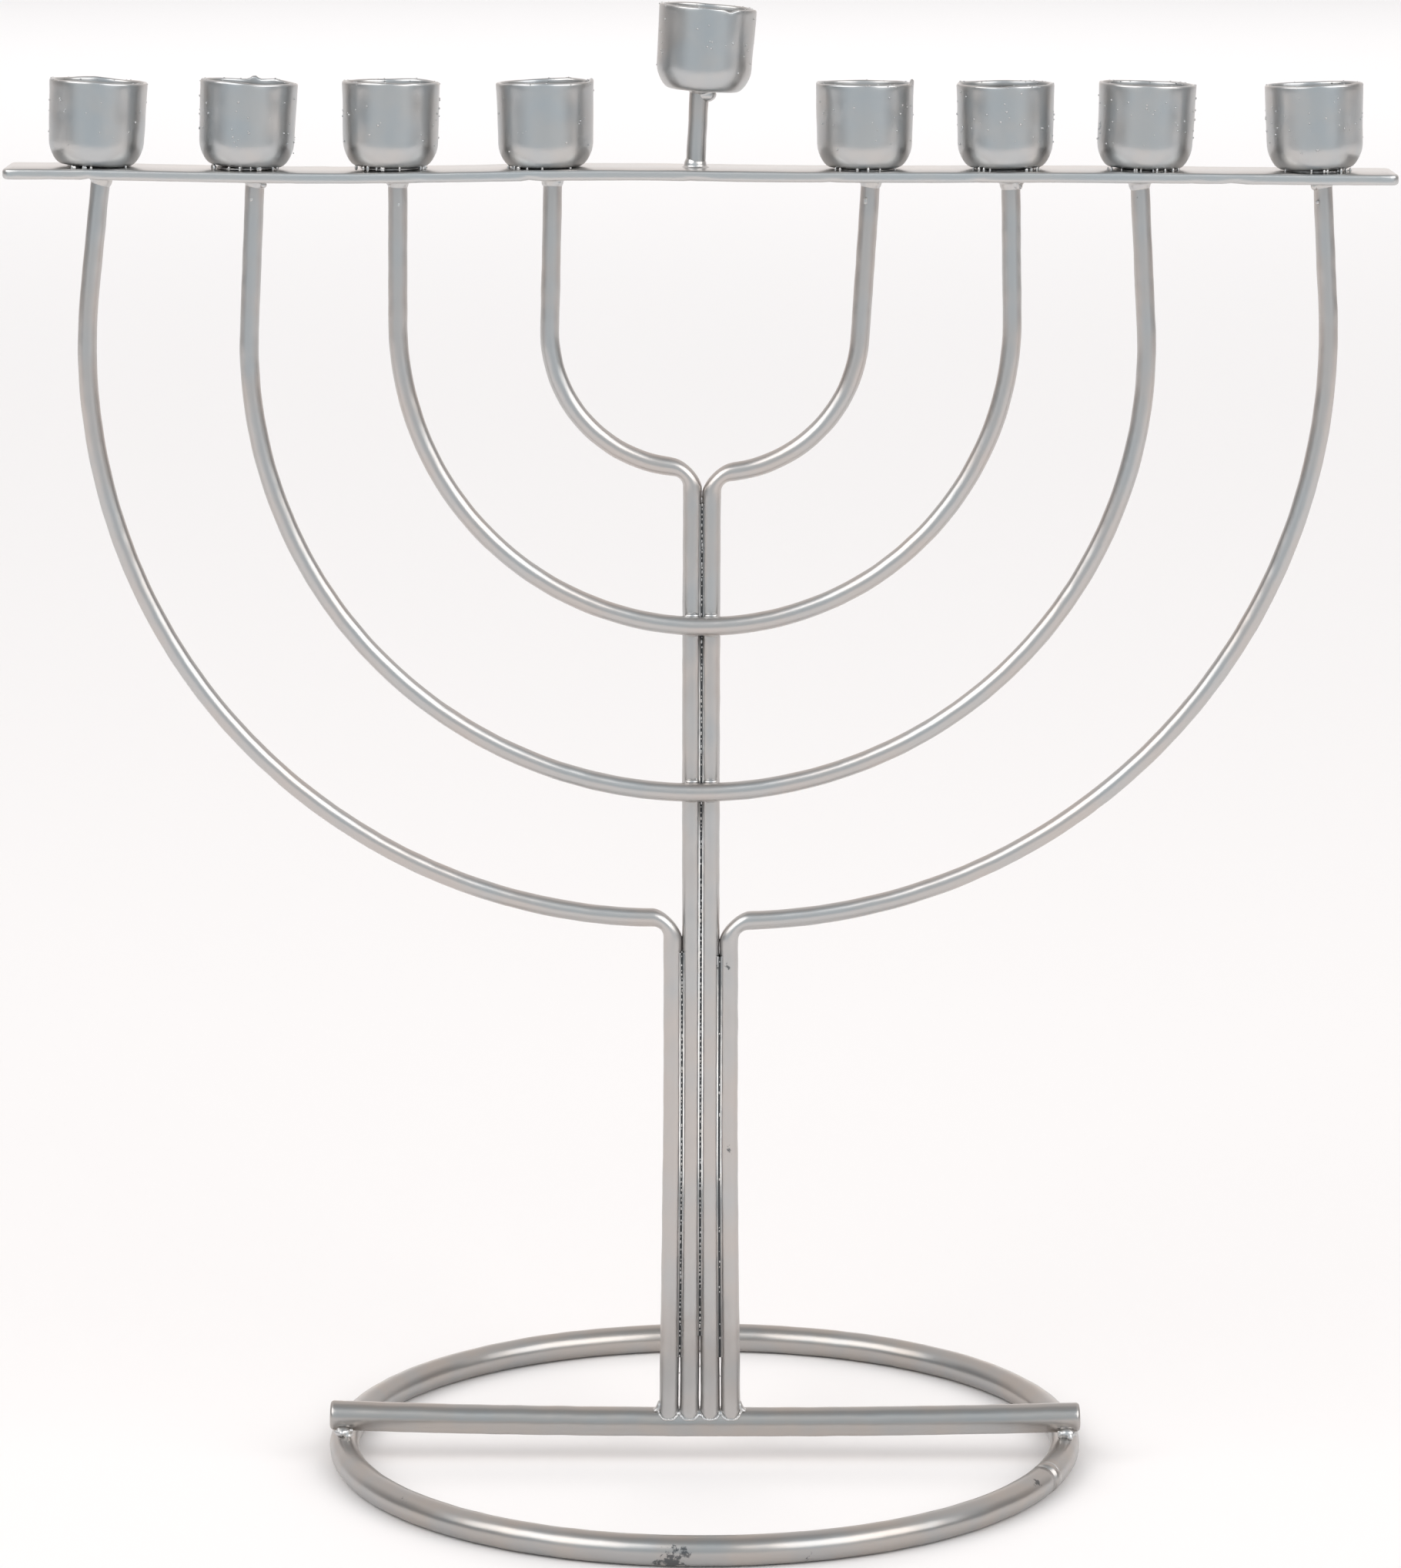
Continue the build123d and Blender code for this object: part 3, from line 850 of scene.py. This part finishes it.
for name, (turn, rise) in softboxes.items():
    light = bpy.data.lights.new(name, "AREA")
    light.shape = "RECTANGLE"
    light.size, light.size_y = softbox_size
    light.energy = softbox_power
    light.color = colour("#FFFBF8")[:3]
    towards = Vector((sin(radians(turn)) * cos(radians(rise)), cos(radians(turn)) * cos(radians(rise)),
                      sin(radians(rise))))
    lamp = bpy.data.objects.new(name, light)
    scene.collection.objects.link(lamp)
    lamp.matrix_world = (Matrix.Translation(towards * softbox_distance)
                         @ towards.to_track_quat("Z", "Y").to_matrix().to_4x4())
    lamp.visible_camera = False

backlight = bpy.data.lights.new("background_light", "AREA")
backlight.shape = "RECTANGLE"
backlight.size, backlight.size_y = backlight_size
backlight.energy = backlight_power
lamp = bpy.data.objects.new("background_light", backlight)
scene.collection.objects.link(lamp)
lamp.location = backlight_place
lamp.visible_camera = False
lamp.visible_glossy = False

world = bpy.data.worlds.new("pale_studio")
world.use_nodes = True
scene.world = world
tree = world.node_tree
tree.nodes.clear()
direction = add_node(tree, "SeparateXYZ", {"Vector": add_node(tree, "TexCoord").outputs["Generated"]})
behind = add_node(tree, "MapRange", {"Value": direction.outputs["Y"], "From Min": -0.3, "From Max": 0.5})
room = add_node(tree, "Mix", {"Factor": behind.outputs["Result"], "A": colour("#D0D9DF"),
                              "B": colour("#EDE7E4")}, data_type="RGBA")
sideways = add_node(tree, "Math", {0: direction.outputs["X"], 1: direction.outputs["X"]},
                    operation="MULTIPLY")
shade = add_node(tree, "MapRange", {"Value": sideways.outputs["Value"], "From Min": 0.45,
                                    "From Max": 0.85, "To Min": 1.0, "To Max": 0.4})
glow = add_node(tree, "MapRange", {"Value": direction.outputs["Y"], "From Min": 0.92,
                                   "From Max": 0.99, "To Min": 1.0, "To Max": 1.6})
overhead = add_node(tree, "MapRange", {"Value": direction.outputs["Z"], "From Min": 0.85,
                                       "From Max": 0.97, "To Min": 1.0, "To Max": 0.6})
dimmed = add_node(tree, "Math", {0: shade.outputs["Result"], 1: overhead.outputs["Result"]},
                  operation="MULTIPLY")
strength = add_node(tree, "Math", {0: dimmed.outputs["Value"], 1: glow.outputs["Result"]},
                    operation="MULTIPLY")
room_light = add_node(tree, "Background", {"Color": room.outputs["Result"],
                                           "Strength": strength.outputs["Value"]})
backdrop = add_node(tree, "Background", {"Color": colour("#F6F2EF")})
seen = add_node(tree, "LightPath").outputs["Is Camera Ray"]
mixed = add_node(tree, "MixShader", {0: seen, 1: room_light.outputs[0], 2: backdrop.outputs[0]})
add_node(tree, "OutputWorld", {"Surface": mixed.outputs[0]})

camera_place = Vector((0.245 * mm, -766.0 * mm, 236.75 * mm))
camera_tilt = radians(90 - 10.63)
camera_roll = radians(0.15)
camera_data = bpy.data.cameras.new("camera")
camera_data.sensor_fit = "VERTICAL"
camera_data.sensor_height = 36
camera_data.lens = 133.6
camera = bpy.data.objects.new("camera", camera_data)
scene.collection.objects.link(camera)
camera.matrix_world = (Matrix.Translation(camera_place) @ Matrix.Rotation(camera_tilt, 4, "X")
                       @ Matrix.Rotation(camera_roll, 4, "Z"))
scene.camera = camera
